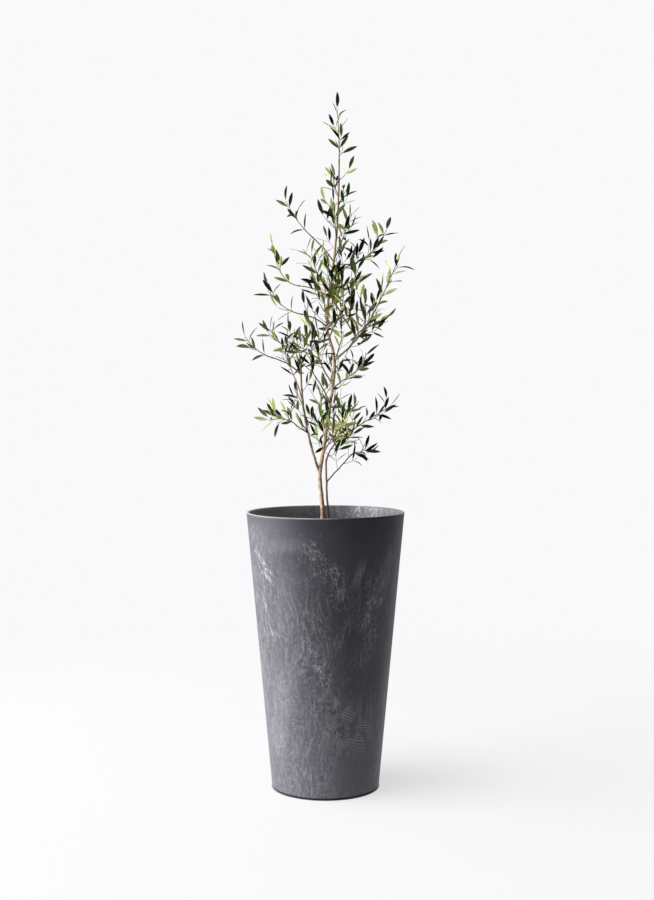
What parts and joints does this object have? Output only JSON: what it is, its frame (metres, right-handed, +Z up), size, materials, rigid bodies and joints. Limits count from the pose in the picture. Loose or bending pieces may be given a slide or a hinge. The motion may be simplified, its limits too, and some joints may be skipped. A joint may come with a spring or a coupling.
{
  "type": "potted olive tree",
  "caption": "Young sparse olive tree with thin stems and narrow grey-green leaves in a tall tapered marbled grey planter.",
  "frame": {"origin": "centre of the planter's flat underside", "axes": "+Z up along the stem, front of the plant towards -Y"},
  "size_m": [0.3126, 0.28, 1.2299],
  "materials": {
    "pot": "matte charcoal grey with pale marbled streaks",
    "soil": "dark crumbly potting soil",
    "bark": "smooth tan bark with brown shading",
    "foliage": "satin dark green leaves, grey-olive underneath"
  },
  "bodies": {
    "root": {"pot": "pot", "soil": "soil", "trunk": "bark", "second_stem": "bark", "left_stem": "bark", "left_long_bough": "bark", "left_low_bough": "bark", "back_left_bough": "bark", "left_mid_bough": "bark", "left_side_bough": "bark", "upper_left_bough": "bark", "far_left_bough": "bark", "long_left_bough": "bark", "right_bough": "bark", "front_cross_bough": "bark", "right_upright_bough": "bark", "upper_right_bough": "bark", "mid_right_bough": "bark", "low_right_bough": "bark", "lowest_right_bough": "bark", "front_low_bough": "bark", "back_low_bough": "bark", "front_mid_bough": "bark", "back_mid_bough": "bark", "back_right_bough": "bark", "back_upper_bough": "bark", "front_upper_bough": "bark", "back_top_bough": "bark", "left_long_leaves": "foliage", "left_low_leaves": "foliage", "left_stem_leaves": "foliage", "left_head_leaves": "foliage", "back_left_leaves": "foliage", "left_mid_leaves": "foliage", "left_side_leaves": "foliage", "upper_left_leaves": "foliage", "far_left_leaves": "foliage", "long_left_leaves": "foliage", "front_cross_leaves": "foliage", "right_far_leaves": "foliage", "right_near_leaves": "foliage", "right_upright_leaves": "foliage", "upper_right_leaves": "foliage", "mid_right_leaves": "foliage", "low_right_leaves": "foliage", "low_inner_leaves": "foliage", "lowest_right_leaves": "foliage", "front_low_leaves": "foliage", "back_low_leaves": "foliage", "front_mid_leaves": "foliage", "back_mid_leaves": "foliage", "back_right_leaves": "foliage", "back_upper_leaves": "foliage", "front_upper_leaves": "foliage", "centre_leaves": "foliage", "back_top_leaves": "foliage", "front_top_leaves": "foliage", "leader_left_leaves": "foliage", "leader_right_leaves": "foliage", "leader_tip_leaves": "foliage"}
  },
  "joints": []
}
